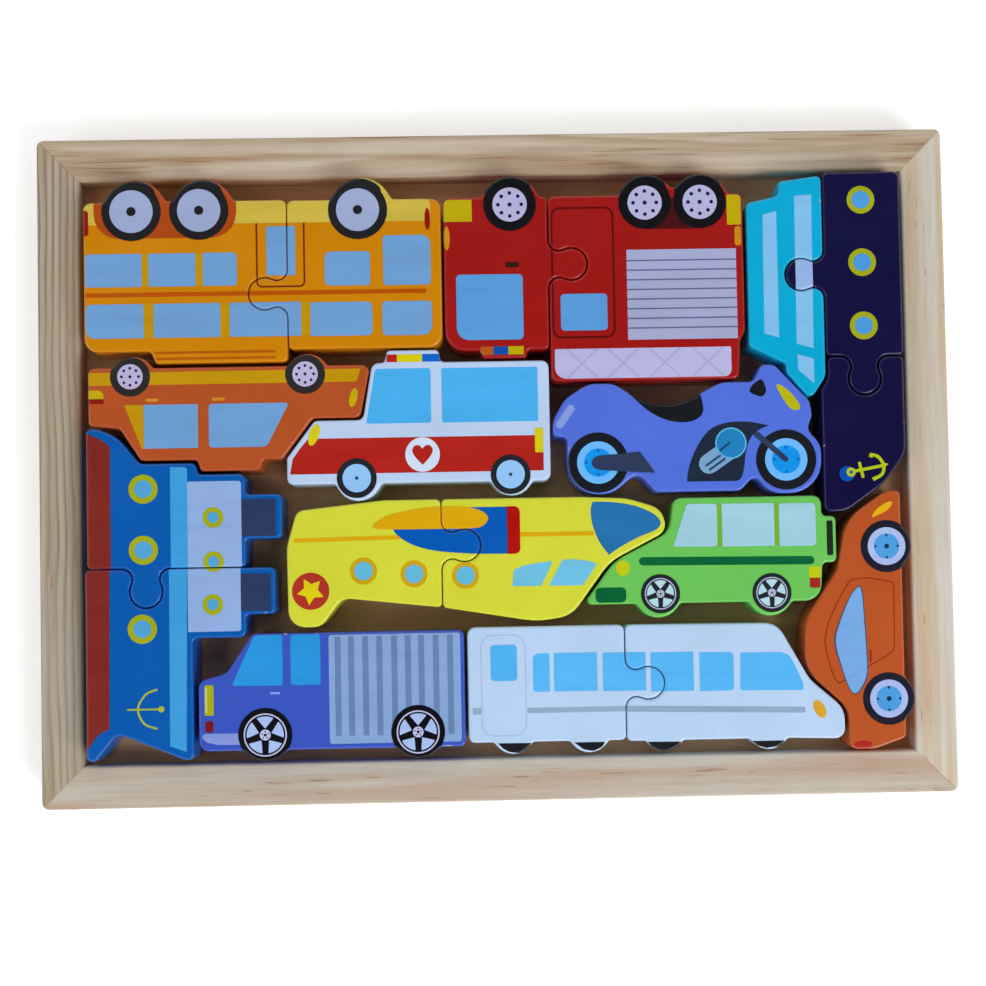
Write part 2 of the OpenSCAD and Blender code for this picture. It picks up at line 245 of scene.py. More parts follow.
def lacquer(shade, wear):
    """Satin lacquer sprayed on sanded basswood: full colour with a faint cloudiness, the fibres
    just telegraphing through, a skin of fine orange peel, and the undercoat showing in small
    chips where the rim has been knocked, more of them the larger wear is. shade is the paint's
    name and colour in one text."""
    name, colour = shade.rsplit(" ", 1)
    material, add, place = blank(f"basswood lacquered {name}")
    clouds = add("TexNoise", {"Vector": place, "Scale": 1 / (22 * MM), "Detail": 3.0})
    shades = [(0.3, linear(colour, 0.96)), (0.7, linear(colour, 1.03))]
    film = add("ValToRGB", {"Fac": clouds}, shades)
    # Fibres of the wood, 0.7 mm wide and 16 mm long
    fibres = fibrous(add, place, 16 * MM, 0.7 * MM, 2.0)
    # Orange peel, 1.4 mm across
    peel = add("TexNoise", {"Vector": place, "Scale": 1 / (1.4 * MM), "Detail": 1.0})
    relief = add("Math", [fibres, peel], operation="ADD")
    bump = add("Bump", {"Strength": 0.35, "Distance": 0.02 * MM, "Height": relief})
    # Chips, 1 to 3 mm long, only on the round of the rim
    height = add("SeparateXYZ", {"Vector": place}).outputs["Z"]
    on_rim = add("MapRange", [height, BLOCK_TOP - CHIPS_START, BLOCK_TOP - CHIPS_FULL])
    ends = [height, BLOCK_TOP - CHIPS_FADE, BLOCK_TOP - CHIPS_END, 1.0, 0.0]
    off_top = add("MapRange", ends)
    knocks = add("TexNoise", {"Vector": place, "Scale": 1 / (3.2 * MM), "Detail": 4.0})
    chipped = add("MapRange", [knocks, 0.73 - wear, 0.76 - wear, 0.0, 0.8])
    rim = add("Math", [on_rim, off_top], operation="MULTIPLY")
    bare = add("Math", [rim, chipped], operation="MULTIPLY")
    worn = add("Mix", {0: bare, 6: film, 7: linear("#CDB999")}, data_type="RGBA")
    # Handling leaves it glossier in some places than in others
    gloss = add("MapRange", [clouds, 0.3, 0.7, 0.22, 0.3])
    coat = {"Base Color": worn, "Roughness": gloss, "Normal": bump, "IOR": 1.5}
    coat |= {"Specular IOR Level": 0.25, "Coat Weight": 0.12, "Coat Roughness": 0.12}
    add("OutputMaterial", {"Surface": add("BsdfPrincipled", coat)})
    return material


inks = {}


def ink(shade):
    """Screen-printed ink under a clear coat: flat strong colour, a shade uneven where the
    squeegee dragged, a little softer in gloss than the lacquer round it. shade is the ink's name
    and colour in one text."""
    if shade in inks:
        return inks[shade]
    name, colour = shade.rsplit(" ", 1)
    inks[shade], add, place = blank(f"screen ink {name}")
    # The squeegee's drag, 5 mm wide and 26 mm long
    film = fibrous(add, place, 26 * MM, 5 * MM, 3.0)
    shades = [(0.3, linear(colour, 0.95)), (0.7, linear(colour, 1.04))]
    tone = add("ValToRGB", {"Fac": film}, shades)
    # Grain of the ink film, 0.5 mm across
    grain = add("TexNoise", {"Vector": place, "Scale": 1 / (0.5 * MM), "Detail": 1.0})
    bump = add("Bump", {"Strength": 0.25, "Distance": 0.01 * MM, "Height": grain})
    gloss = add("MapRange", [film, 0.3, 0.7, 0.26, 0.36])
    coat = {"Base Color": tone, "Roughness": gloss, "Normal": bump, "IOR": 1.5}
    coat |= {"Specular IOR Level": 0.22, "Coat Weight": 0.08, "Coat Roughness": 0.14}
    add("OutputMaterial", {"Surface": add("BsdfPrincipled", coat)})
    return inks[shade]


def pine(name, grain, pith, slope, sway, ring_gap, dash, resin, pale, late, streak):
    """Planed radiata pine, unfinished: pale earlywood, thin tan latewood lines from rings round a
    pith outside the board, fibres streaked lighter and darker, partly their own tone and partly
    painted highlights of the planed wood's lustre, and brown resin dashes. grain is the axis that
    the board was sawn along, pith the place of the tree's middle across it, slope the degrees by
    which the trunk ran askew, sway how far it wandered, ring_gap the width of a ring, dash the
    length of a resin dash and resin how many there are."""
    material, add, place = blank(name)
    # The trunk was not straight: the rings wander over a hand's length
    wander = fibrous(add, place, 120 * MM, 26 * MM, 2.0, grain)
    way = [wander.outputs["Color"], (0.5, 0.5, 0.5)]
    centred = add("VectorMath", way, operation="SUBTRACT")
    swayed = add("VectorMath", {0: centred, "Scale": sway}, operation="SCALE")
    bent = add("VectorMath", [place, swayed], operation="ADD")
    askew = (0.0, 0.0, math.radians(slope))
    trunk = add("Mapping", {"Vector": bent, "Location": pith, "Rotation": askew})
    rings = add(
        "TexWave",
        {"Vector": trunk, "Scale": WAVE_PERIOD / ring_gap, "Distortion": 0.3},
        wave_type="RINGS",
        rings_direction=grain,
        wave_profile="SAW",
    ).outputs["Fac"]
    growth = [(0.0, linear(late, 1.04)), (0.1, linear(pale))]
    growth += [(0.55, linear(pale, 0.98)), (0.9, linear(late))]
    bands = add("ValToRGB", {"Fac": rings}, growth)
    # The latewood of a ring fades and comes back along the board
    fade = add("MapRange", [wander, 0.4, 0.62, 0.0, 0.6])
    fading = add("Mix", {0: fade, 6: bands, 7: linear(pale)}, data_type="RGBA")
    # Broad tan streaks, 5 mm wide and 110 mm long
    broad = fibrous(add, place, 110 * MM, 5 * MM, 3.0, grain)
    tan = add("MapRange", [broad, 0.42, 0.66, 0.0, 0.85])
    streaked = add("Mix", {0: tan, 6: fading, 7: linear(streak)}, data_type="RGBA")
    # Fibres, 0.5 mm wide and 18 mm long, streaked lighter and darker in the colour: partly their
    # own
    #     # tone, partly painted highlights of the wood's lustre
    fibres = fibrous(add, place, 18 * MM, 0.5 * MM, 3.0, grain)
    fibre_tone_painted_sheen = add("ValToRGB", {"Fac": fibres}, [(0.28, linear(WHITE, 0.84)), (0.7, linear(WHITE))])
    painted_sheen_mix = {0: 0.8, 6: streaked, 7: fibre_tone_painted_sheen}
    painted_sheen_wood = add("Mix", painted_sheen_mix, data_type="RGBA", blend_type="MULTIPLY")
    # Resin canals: brown dashes 0.7 mm wide, in the darker parts of the board
    canals = fibrous(add, place, dash, 0.7 * MM, 0.0, grain)
    dashes = add("MapRange", [canals, 0.72 - resin, 0.78 - resin, 0.0, 0.6])
    there = add("MapRange", [broad, 0.48, 0.56])
    marks = add("Math", [dashes, there], operation="MULTIPLY")
    wood = add("Mix", {0: marks, 6: painted_sheen_wood, 7: linear("#8F6844")}, data_type="RGBA")
    relief = add("Math", [fibres, rings], operation="ADD")
    bump = add("Bump", {"Strength": 0.5, "Distance": 0.05 * MM, "Height": relief})
    dry = add("MapRange", [fibres, 0.3, 0.7, 0.52, 0.68])
    face = {"Base Color": wood, "Roughness": dry, "Normal": bump, "IOR": 1.5}
    face["Specular IOR Level"] = 0.4
    add("OutputMaterial", {"Surface": add("BsdfPrincipled", face)})
    return material


def plywood():
    """Sanded birch plywood: warm and even, its peeled veneer showing as long soft flames and a
    scatter of short dark pores. Its tone is darker and redder than bare birch: painted shade and
    painted red bounce light of the narrow gaps between the blocks."""
    material, add, place = blank("birch plywood sanded")
    # Flames, 9 mm wide and 70 mm long
    flames = fibrous(add, place, 70 * MM, 9 * MM, 4.0)
    # Both stops are darker and redder than bare birch: painted shade and painted red bounce light
    shades = [(0.3, linear("#A67B54")), (0.7, linear("#C69D74"))]
    tone = add("ValToRGB", {"Fac": flames}, shades)
    # Pores, 0.4 mm wide and 5 mm long
    pores = fibrous(add, place, 5 * MM, 0.4 * MM, 1.0)
    dark = add("MapRange", [pores, 0.66, 0.74, 0.0, 0.4])
    wood = add("Mix", {0: dark, 6: tone, 7: linear("#7C5E40")}, data_type="RGBA")
    bump = add("Bump", {"Strength": 0.5, "Distance": 0.04 * MM, "Height": pores})
    dry = add("MapRange", [flames, 0.3, 0.7, 0.6, 0.72])
    face = {"Base Color": wood, "Roughness": dry, "Normal": bump, "Specular IOR Level": 0.35}
    add("OutputMaterial", {"Surface": add("BsdfPrincipled", face)})
    return material


def drawn_steel():
    """Bright drawn steel wire of the brads: grey metal with fine lengthwise scratches."""
    material, add, place = blank("drawn steel wire")
    # Die scratches, really 0.02 mm, are drawn 0.1 mm wide so that they show
    scratches = add("TexNoise", {"Vector": place, "Scale": 1 / (0.1 * MM), "Detail": 2.0})
    shades = [(0.3, linear("#8C8C8A")), (0.7, linear("#B4B4B2"))]
    tone = add("ValToRGB", {"Fac": scratches}, shades)
    drawn = add("MapRange", [scratches, 0.3, 0.7, 0.28, 0.42])
    wire = {"Base Color": tone, "Metallic": 1.0, "Roughness": drawn}
    add("OutputMaterial", {"Surface": add("BsdfPrincipled", wire)})
    return material


# ---------------------------------------------------------------- blocks and printing


def cut_block(node):
    """The block: its outline lifted off the CAD solid, cut out thick, rounded at rim and foot."""
    low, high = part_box(node)
    block = taken_up(node, f"{node}_block")
    pick("VERT", lambda corner: abs(corner.co.z - low.z - FOOT) > WELD)
    bpy.ops.mesh.delete(type="VERT")
    bpy.ops.mesh.select_all(action="SELECT")
    bpy.ops.mesh.edge_face_add()
    bpy.ops.transform.translate(value=(0, 0, -FOOT))
    bpy.ops.mesh.extrude_region_move(TRANSFORM_OT_translate={"value": (0, 0, high.z - low.z)})
    bpy.ops.mesh.region_to_loop()
    bpy.ops.mesh.bevel(offset=RIM, segments=RIM_STEPS, affect="EDGES")
    pick("EDGE", lambda edge: all(abs(end.co.z - low.z) < WELD for end in edge.verts))
    bpy.ops.mesh.bevel(offset=FOOT, segments=2, affect="EDGES")
    leave_closed()
    return block


blocks = {}
skins = {}
prints = {}


def skin(node, passes):
    """The block grown by that many ink films: what a print of that pass is cut from."""
    if (node, passes) not in skins:
        film = passes * INK_FILM
        grown = copied(blocks[node], f"{node}_skin_{passes}")
        edit(grown)
        bpy.ops.transform.shrink_fatten(value=film, use_even_offset=True)
        top = BLOCK_TOP - WELD
        pick("FACE", lambda face: face.normal.z > LEVEL and face.calc_center_median().z > top)
        bpy.ops.transform.resize(value=(1, 1, 0), center_override=(0, 0, BLOCK_TOP + film))
        leave()
        skins[node, passes] = grown
    return skins[node, passes]


@contextmanager
def printed(nodes, passes, shade):
    """Opens an empty stencil. What is drawn while it is open is printed on those blocks in that
    shade of ink, as that pass of the press. One pass's shapes lie side by side."""
    stencil = bpy.data.objects.new("stencil", bpy.data.meshes.new("stencil"))
    bpy.context.collection.objects.link(stencil)
    edit(stencil)
    yield
    bpy.ops.mesh.select_all(action="SELECT")
    lift = (0, 0, PRINT_WRAP + STENCIL_LIFT)
    bpy.ops.mesh.extrude_region_move(TRANSFORM_OT_translate={"value": lift})
    leave_closed()
    drawn = [corner.co for corner in stencil.data.vertices]
    for node in nodes:
        low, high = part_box(node)
        if any(
            max(point[axis] for point in drawn) < low[axis]
            or min(point[axis] for point in drawn) > high[axis]
            for axis in (0, 1)
        ):
            continue
        film = copied(skin(node, passes), f"{node}_film")
        cut = {"operation": "INTERSECT", "object": stencil, "solver": "EXACT", "use_self": True}
        applied(film, "BOOLEAN", **cut)
        if film.data.polygons:
            film.data.materials.clear()
            film.data.materials.append(ink(shade))
            prints.setdefault(node, []).append(film)
        else:
            drop(film)
    drop(stencil)


def spot(x, y):
    """The place on the stencil of that point of the plan."""
    return Vector((x * PLAN, y * PLAN, BLOCK_TOP - PRINT_WRAP))


def as_line(width):
    """Turns the shape just drawn into a line of that width round its edge."""
    bpy.ops.mesh.select_linked()
    bpy.ops.mesh.inset(thickness=width * PLAN)
    bpy.ops.mesh.delete(type="ONLY_FACE")


def disc(x, y, radius):
    """A round."""
    bpy.ops.mesh.primitive_circle_add(
        vertices=CIRCLE_STEPS, radius=radius * PLAN, fill_type="NGON", location=spot(x, y)
    )


def oval(x, y, half_width, half_height, turn=0):
    """An oval, turned anticlockwise by that many degrees."""
    disc(x, y, 1)
    bpy.ops.transform.resize(value=(half_width, half_height, 1), center_override=spot(x, y))
    # With no window the operator turns clockwise
    turn = -math.radians(turn)
    bpy.ops.transform.rotate(value=turn, orient_axis="Z", center_override=spot(x, y))


def patch(points, corner=0, line=0):
    """A flat shape drawn from point to point, its corners rounded, or only its outline."""
    bpy.ops.mesh.primitive_plane_add(size=PLAN, location=spot(*points[0]))
    bpy.ops.mesh.merge(type="CENTER")
    for here, there in zip(points, points[1:]):
        way = spot(*there) - spot(*here)
        bpy.ops.mesh.extrude_vertices_move(TRANSFORM_OT_translate={"value": way})
    bpy.ops.mesh.select_linked()
    bpy.ops.mesh.edge_face_add()
    if corner:
        bpy.ops.mesh.bevel(offset=corner * PLAN, segments=CORNER_STEPS, affect="VERTICES")
    if line:
        as_line(line)


def panel(left, right, bottom, top, corner=0, line=0):
    """A rectangle. corner is a radius or four, anticlockwise from the bottom left."""
    points = [(left, bottom), (right, bottom), (right, top), (left, top)]
    if isinstance(corner, (int, float)):
        patch(points, corner, line)
        return
    patch(points)
    for point, radius in zip(points, corner):
        if radius:
            pick("VERT", lambda end, at=spot(*point): (end.co - at).length < WELD)
            bpy.ops.mesh.bevel(offset=radius * PLAN, segments=CORNER_STEPS, affect="VERTICES")
    if line:
        as_line(line)
    bpy.ops.mesh.select_all(action="DESELECT")


def curve(points, closed=False):
    """The points of a smooth curve through those points."""
    count = len(points)
    ends = [Vector(point) for point in points]

    def at(index):
        return ends[index % count] if closed else ends[min(max(index, 0), count - 1)]

    run = []
    for index in range(count if closed else count - 1):
        before, here, there, after = (at(index + step) for step in (-1, 0, 1, 2))
        for step in range(CURVE_STEPS):
            t = step / CURVE_STEPS
            twice = 2 * here + (there - before) * t
            twice += (2 * before - 5 * here + 4 * there - after) * t**2
            twice += (3 * here - before - 3 * there + after) * t**3
            run.append(twice / 2)
    return [tuple(point) for point in run] + ([] if closed else [tuple(ends[-1])])


def stroke(points, width):
    """A line of even width with round ends."""
    path = [Vector(point) for point in points]
    ways = [(there - here).normalized() for here, there in zip(path, path[1:])]
    sides = []
    for index in range(len(path)):
        before, after = ways[max(index - 1, 0)], ways[min(index, len(ways) - 1)]
        way = (before + after).normalized()
        sides.append(Vector((-way.y, way.x)) * (width / 2 / way.dot(after)))

    def end(centre, side):
        """Half a turn, clockwise, from side to the other side."""
        turns = [-math.pi * step / END_STEPS for step in range(END_STEPS + 1)]
        turned = [(side.x, side.y, math.cos(turn), math.sin(turn)) for turn in turns]
        return [(centre.x + x * c - y * s, centre.y + x * s + y * c) for x, y, c, s in turned]

    there = [tuple(point + side) for point, side in zip(path, sides)][1:-1]
    back = [tuple(point - side) for point, side in zip(path, sides)][1:-1][::-1]
    patch([*end(path[0], -sides[0]), *there, *end(path[-1], sides[-1]), *back])


def round_about(x, y, radius, count, start=0):
    """count points of the plan on a circle, the first at start degrees."""
    turns = [math.radians(start + 360 * step / count) for step in range(count)]
    return [(x + radius * math.cos(turn), y + radius * math.sin(turn)) for turn in turns]


def rounds(nodes, passes, centres, *sizes):
    """Wheels or portholes, printed as rounds on each other, each given as a radius and an ink."""
    for step, (radius, shade) in enumerate(sizes):
        with printed(nodes, passes + step, shade):
            for x, y in centres:
                disc(x, y, radius)


def tyres(nodes, passes, centres, radius, shaded_brim, shade):
    """Tyres at the edge of a block: past the top left their black runs out over the rim by the
    given width, partly the tyre's ink and partly painted shade on the rim's shaded side.
    """
    with printed(nodes, passes, shade):
        for x, y in centres:
            outline = []
            for turn in range(0, 360, 5):
                inside = min(max(turn - TYRE_SHADE_BRIM_START, 0), max(TYRE_SHADE_BRIM_END - turn, 0))
                reach = radius + shaded_brim * min(inside / TYRE_SHADE_BRIM_FADE, 1)
                outline += round_about(x, y, reach, 1, turn)
            patch(outline)


def studs(nodes, passes, centres, shade, ring, count, size, middle, start=0):
    """The dots of wheel nuts: count of them round each centre, and one in the middle."""
    with printed(nodes, passes, shade):
        for x, y in centres:
            disc(x, y, middle)
            for place in round_about(x, y, ring, count, start):
                disc(*place, size)


def spoked_wheels(nodes, passes, centres, radius, tyre, gleam, glass):
    """Five-spoked wheels: tyre, a thin bright ring, and five lights between parallel spokes."""
    rounds(nodes, passes, centres, (radius, tyre))
    with printed(nodes, passes + 1, gleam):
        for x, y in centres:
            disc(x, y, GLEAM_RING * radius)
            as_line(GLEAM_LINE * radius)
            disc(x, y, HUB * radius)
    with printed(nodes, passes + 1, glass):
        for x, y in centres:
            # Five lights, each from its tip out to 54 degrees of the rim
            for turn in range(18, 378, 72):
                light = round_about(x, y, LIGHT_TIP * radius, 1, turn)
                for step in range(-27, 28, 9):
                    light += round_about(x, y, LIGHT_RIM * radius, 1, turn + step)
                patch(light, LIGHT_CORNER * radius)
    nut, middle = NUT * radius, HUB_MIDDLE * radius
    studs(nodes, passes + 2, centres, tyre, NUT_RING * radius, 5, nut, middle, 90)


def finish_vehicle(nodes, paint):
    """Lacquers the blocks, joins each block's prints into one piece and sets both on the frame."""
    for node in nodes:
        block = blocks[node]
        block.data.materials.append(paint)
        smoothed(block)
        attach(block, node)
        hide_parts(node)
        films = prints.pop(node, [])
        if films:
            hold(films[0])
            for film in films:
                film.select_set(True)
            bpy.ops.object.join()
            films[0].name = f"{node}_print"
            smoothed(films[0])
            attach(films[0], node)


# ---------------------------------------------------------------- the vehicles


def bus(both):
    """A double-deck bus that lies on its roof."""
    centres = [(-117.2, 83.8), (-95.3, 83.9), (-43.8, 83.4)]
    with printed(both, 1, "mustard #BF9104"):
        panel(-132.2, -83.3, 59.3, 69.9, 1)
        panel(-132.2, -39.6, 42.6, 53.5, 1.8)
    with printed(both, 1, "bus stripe #B65000"):
        panel(-132.4, -21.9, 55.9, 57.3)
    with printed(both, 1, "door line brown #702606"):
        panel(-77, -61.1, 58.4, 84, 1.8, line=0.55)
    with printed(both, 1, "roof line #B05A02"):
        panel(-110.4, -71, 37.2, 38)
        panel(-109.6, -71, 35.3, 36)
    with printed(both, 2, "straw #CCB444"):
        panel(-133, -20.2, 79.5, 86.9, (0, 0, 2, 0))
        panel(-51, -30, 86.9, 96)
    with printed(both, 2, "coach window blue #6E9FD2"):
        panel(-132.3, -114, 59.2, 70, (1, 0.4, 0.4, 1.5))
        panel(-111.8, -96.6, 59.2, 70, 0.4)
        panel(-94.2, -83.2, 59.2, 70, (0.4, 1, 1.4, 0.4))
        panel(-73.6, -64.2, 62.3, 78.4, (0.8, 0.8, 0.8, 0.8))
        panel(-54.8, -40, 58.7, 69.8, (1.6, 1, 1.2, 2))
        panel(-35.8, -20.3, 58.6, 74.9, (1, 1.4, 3, 1))
        panel(-132.3, -113.5, 42.5, 53.6, (3, 0.4, 0.4, 2))
        panel(-110.3, -88.8, 42.5, 53.6, 0.4)
        panel(-85.7, -62.6, 42.5, 53.6, 0.4)
        panel(-59.6, -39.5, 42.3, 53.3, (0.4, 1.8, 1.8, 0.4))
        panel(-36.3, -20.2, 42.2, 53.3, (1.2, 3, 1, 1.2))
    with printed(both, 3, "arch rust #AC470E"):
        panel(-129.3, -83.2, 75, 98, (8, 8, 0, 0))
    with printed(both, 3, "lamp red #8E1206"):
        panel(-134, -131.1, 76, 84.3, 1)
        oval(-21.2, 80.1, 0.9, 3.6)
    hub = "tyre black #201F22"
    tyres(both, 4, centres, 9.6, 0.8, hub)
    rounds(both, 5, centres, (7, "wheel lilac #9DABD2"), (1.5, hub))


def fire_engine(both):
    """A fire engine that lies on its roof, with a light bar, a roller shutter and a ladder rack."""
    cab, body = both[:1], both[1:]
    centres = [(5.7, 84.4), (49.8, 84.4), (67.8, 84.4)]
    with printed(both, 1, "door line maroon #5A0708"):
        panel(18.9, 39.5, 40.3, 83.3, 3, line=0.6)
    with printed(both, 2, "cab window blue #589AD9"):
        panel(-12.2, 9.5, 40.2, 61.6, (4, 1.4, 1.4, 1.4))
        panel(21.7, 36.9, 42.8, 54.8, 1.2)
    with printed(body, 1, "arch maroon #470E13"):
        panel(50, 68, 75.7, 86)
    with printed(both, 1, "signal yellow #BDA904"):
        panel(-15.9, -6.7, 79, 86.2, (0.2, 0.2, 0.2, 1.6))
        panel(76.6, 81.2, 76.8, 86.7, (0.3, 0.3, 1.2, 0.3))
        panel(4.4, 9.4, 35.3, 38)
    with printed(both, 1, "lamp amber #C68C12"):
        oval(-15, 73.6, 1, 3.9)
        panel(79, 81.1, 69.9, 76.3, 0.9)
    with printed(cab, 1, "light bar orange #B5591D"):
        panel(-4.6, -0.43, 35.3, 38)
    with printed(cab, 1, "beacon blue #0A50A9"):
        panel(-0.4, 4.37, 35.3, 38)
    with printed(cab, 1, "handle brown #3A170E"):
        panel(3.9, 8.4, 63.8, 65.6, 0.8)
    with printed(body, 1, "shutter lilac #A3A9CE"):
        panel(43.5, 79.3, 39.5, 69)
    with printed(body, 2, "shutter slat slate #5E6690"):
        for slat in range(8):
            height = 43.3 + slat * 3.16
            panel(43.5, 79.3, height - 0.22, height + 0.22)
    with printed(body, 1, "rack lilac #B8B6E0"):
        panel(19.5, 77, 27.1, 36.8, (3.6, 2.2, 0.4, 0.6))
    with printed(body, 2, "rack line #A7A7CE"):
        for middle in (28.4, 41.8, 55.4, 69.4):
            stroke([(middle - 4.8, 36.5), (middle + 4.8, 27.5)], 0.6)
            stroke([(middle + 4.8, 36.5), (middle - 4.8, 27.5)], 0.6)
    tyres(both, 3, centres, 8.6, 0.9, "tyre deep black #101015")
    rounds(both, 4, centres, (5.6, "wheel pale lilac #B5B4DC"))
    studs(both, 5, centres, "stud navy #1B1642", 3.8, 8, 0.6, 0.68)


def liner_cabin(cabin):
    """The cabin of a passenger liner that stands on its stern."""
    with printed(cabin, 1, "saloon window blue #80BEEA"):
        patch([(88, 40.9), (92.8, 39.5), (92.8, 81.1), (88.3, 79.9)], 0.2)
        patch([(98.5, 37.4), (104, 35.8), (104.4, 86.4), (98.8, 86)], 0.2)
        patch([(98.6, 33.9), (104, 32.4), (103.9, 24.3), (98.8, 28.8)], 0.2)


def liner_hull(both):
    """The liner's hull, with three portholes and an anchor."""
    stern, bow = both[:1], both[1:]
    with printed(stern, 1, "knob window blue #93B4E6"):
        panel(98.7, 104.3, 50, 70)
    brass, glass = "porthole lime #A1A914", "porthole blue #4A9ADC"
    rounds(stern, 1, [(120.6, 84.4), (120.6, 63.8), (120.6, 43)], (4.55, brass), (2.9, glass))
    with printed(bow, 1, "anchor blue #0450AC"):
        disc(113.9, -5.4, 2.5)
    with printed(bow, 2, "anchor lime #B2C218"):
        disc(115.2, -4.9, 1.5)
        as_line(0.95)
        stroke([(116.4, -4.6), (125.8, -2.9)], 1)
        stroke([(118, -2), (119, -6.4)], 1)
        flukes = curve([(121.8, 0.7), (124.1, 0), (125.9, -2.8), (125.3, -5.7), (122.8, -7.2)])
        stroke(flukes, 1.05)
        patch([(121, 0.1), (122.3, -0.4), (122, 1.4)])
        patch([(121.9, -6.9), (123.4, -6.2), (122.7, -8)])
        patch([(125.8, -3.6), (127.5, -2.5), (126, -2)])


def taxi(car):
    """A taxi that lies on its roof. Its roof sign is bare."""
    centres = [(-118.1, 30), (-61.6, 30)]
    with printed(car, 1, "mustard #BF9104"):
        patch([(-131.8, 27.2), (-45, 27.3), (-43.7, 31.5), (-131.8, 31.4)], 0.2)
        patch([(-120.1, 20.8), (-114.6, 6.6), (-113.83, 6.6), (-113.83, 20.8)])
    with printed(car, 1, "coach window blue #6E9FD2"):
        panel(-113.8, -96.4, 6.6, 20.8, (0, 0.4, 0.4, 0))
        patch([(-92.9, 6.6), (-74.3, 6.6), (-66.9, 20.8), (-92.9, 20.8)], 1.2)
    with printed(car, 1, "taxi lamp yellow #C2A90A"):
        panel(-131.9, -126.7, 22.93, 25.7, (0, 0, 2, 0.4))
        oval(-46.1, 22.1, 1.25, 3.1, -13)
    with printed(car, 1, "lamp red #8E1206"):
        panel(-131.9, -126.7, 21.3, 22.9)
    with printed(car, 1, "handle orange #CF8820"):
        panel(-113.1, -109.1, 21.8, 22.8, 0.3)
        panel(-91.8, -87.7, 21.8, 22.8, 0.3)
    rounds(car, 2, centres, (6.45, "tyre warm black #2B2927"), (4.1, "wheel pink lilac #B9B0D6"))
    studs(car, 4, centres, "stud navy #1B1642", 2.75, 8, 0.45, 0.5)


def heart(x, y, size):
    """A plain heart, size units wide."""
    half = size / 2
    right = [(0, 0.62), (0.3, 0.95), (0.72, 0.95), (1, 0.55), (0.86, 0.05), (0.45, -0.5)]
    right += [(0, -0.95)]
    outline = curve(right) + curve([(-px, py) for px, py in right[::-1]])[1:-1]
    patch([(x + half * px, y + half * py) for px, py in outline])


def ambulance(van):
    """An ambulance: a red band, a roof light bar and a heart in a round."""
    centres = [(-45.4, -4.1), (4.4, -3.7)]
    red, yellow = "ambulance red #AE2119", "ambulance yellow #D2C80E"
    with printed(van, 1, red):
        band = [(-66.9, -2.6), (15.2, -2.6), (15.2, 8.9), (-60.9, 8.9), (-63.7, 5.6), (-66, 2.4)]
        patch(band, 0.2)
        panel(-35.2, -31.83, 33.4, 35.9)
    with printed(van, 1, yellow):
        panel(-31.8, -23.63, 33.4, 35.9)
    with printed(van, 1, "ambulance beacon #0660CC"):
        panel(-23.6, -17.6, 33.4, 35.9)
    with printed(van, 1, "ambulance window blue #48AEED"):
        patch([(-42.1, 13.5), (-21, 13.5), (-21, 31.3), (-38.9, 31.3)], 0.9)
        panel(-17.5, 13.7, 13.5, 31.2, 0.4)
    with printed(van, 2, yellow):
        oval(-59, 10.1, 1.55, 3.6, -20)
        panel(12.5, 15.2, 3.3, 11.3, 0.3)
    with printed(van, 2, "badge white #CFDCF3"):
        disc(-24, 3.2, 5.6)
    with printed(van, 3, red):
        heart(-24, 3, 6.6)
    tyre, pale = "tyre slate black #22252D", "wheel sky #91C3F5"
    rounds(van, 2, centres, (6.45, tyre), (4.6, pale), (0.55, "axle blue #24425F"))


def motorcycle(bike):
    """A motorcycle with a black saddle, a round engine cover and a silencer."""
    centres = [(32.9, -0.4), (94.1, -0.4)]
    with printed(bike, 1, "saddle black #15191D"):
        saddle = [(42.4, 23), (44.6, 20.7), (48.3, 17.2), (52.5, 14.4), (57, 12.7)]
        saddle += [(61.5, 12.3), (65, 13.1), (67.1, 15), (67.4, 17.6), (66.5, 21.8)]
        patch([(42.4, 27), *curve(saddle), (66.5, 27)])
        grip = [(85.4, 25.4), (86.9, 25.7), (88.1, 22.4), (86.9, 20.4), (84.6, 20.8), (82.7, 22)]
        patch(curve([*grip, (83.6, 24)], closed=True))
    with printed(bike, 1, "engine navy #1E2A3D"):
        cowl = [(61.6, -7.1), (62.3, -2.7), (65, 4), (69.4, 9.7), (75, 11.9), (82, 12.1)]
        cowl += [(88.7, 10.8)]
        leg = [(88.7, 10.8), (84.6, 8.9), (82.2, 5.9), (80.9, 1.5), (80.3, -3), (79.3, -6.2)]
        patch(curve(cowl) + curve([*leg, (77.8, -7.1)])[1:])
    with printed(bike, 1, "lens yellow #B7B60E"):
        lens = [(91.5, 23.8), (92.9, 23.9), (95.8, 21.7), (98, 19), (99.1, 17), (98.7, 15.9)]
        lens += [(97, 15.7), (95.2, 17), (93.1, 20.2)]
        patch(curve(lens, closed=True))
    with printed(bike, 1, "tail periwinkle #8398DE"):
        stroke([(20.7, 12.2), (24.3, 17.3)], 2.6)
    with printed(bike, 2, "silencer blue #79A4CA"):
        stroke([(68.9, -1.4), (76, 3.4)], 6.5)
    with printed(bike, 3, "cover rim blue #5DB5E3"):
        disc(76.2, 5.2, 5.1)
    with printed(bike, 4, "cover blue #2181BD"):
        disc(76.2, 5.2, 4.6)
    with printed(bike, 5, "slot navy #1D3E68"):
        stroke([(72.6, 2.9), (75.7, 5.3)], 0.6)
        stroke([(68, -2), (72.6, 1.2)], 0.6)
        stroke([(69.1, -3.4), (74.1, 0.1)], 0.6)
    tyre, disk = "tyre blue black #171B21", "wheel ice blue #6BB8FB"
    brake = "disc brake blue #1093EA"
    rounds(bike, 2, centres, (9.8, tyre), (6.9, disk), (4.6, brake))
    studs(bike, 5, centres, "brake stud blue #0B68BC", 3.9, 4, 0.45, 0.3)
    with printed(bike, 6, "fork slate #2D3B5A"):
        swing = [(33.1, 1.9), (40, 2.3), (46.5, 2.9), (51.4, -4), (41, -3.4), (33.1, -2.8)]
        patch([*swing, (31.3, -2), (30.6, -0.5), (31.3, 1.1)], 0.7)
        stroke([(84.7, 7.9), (93.9, -0.3)], 1.8)


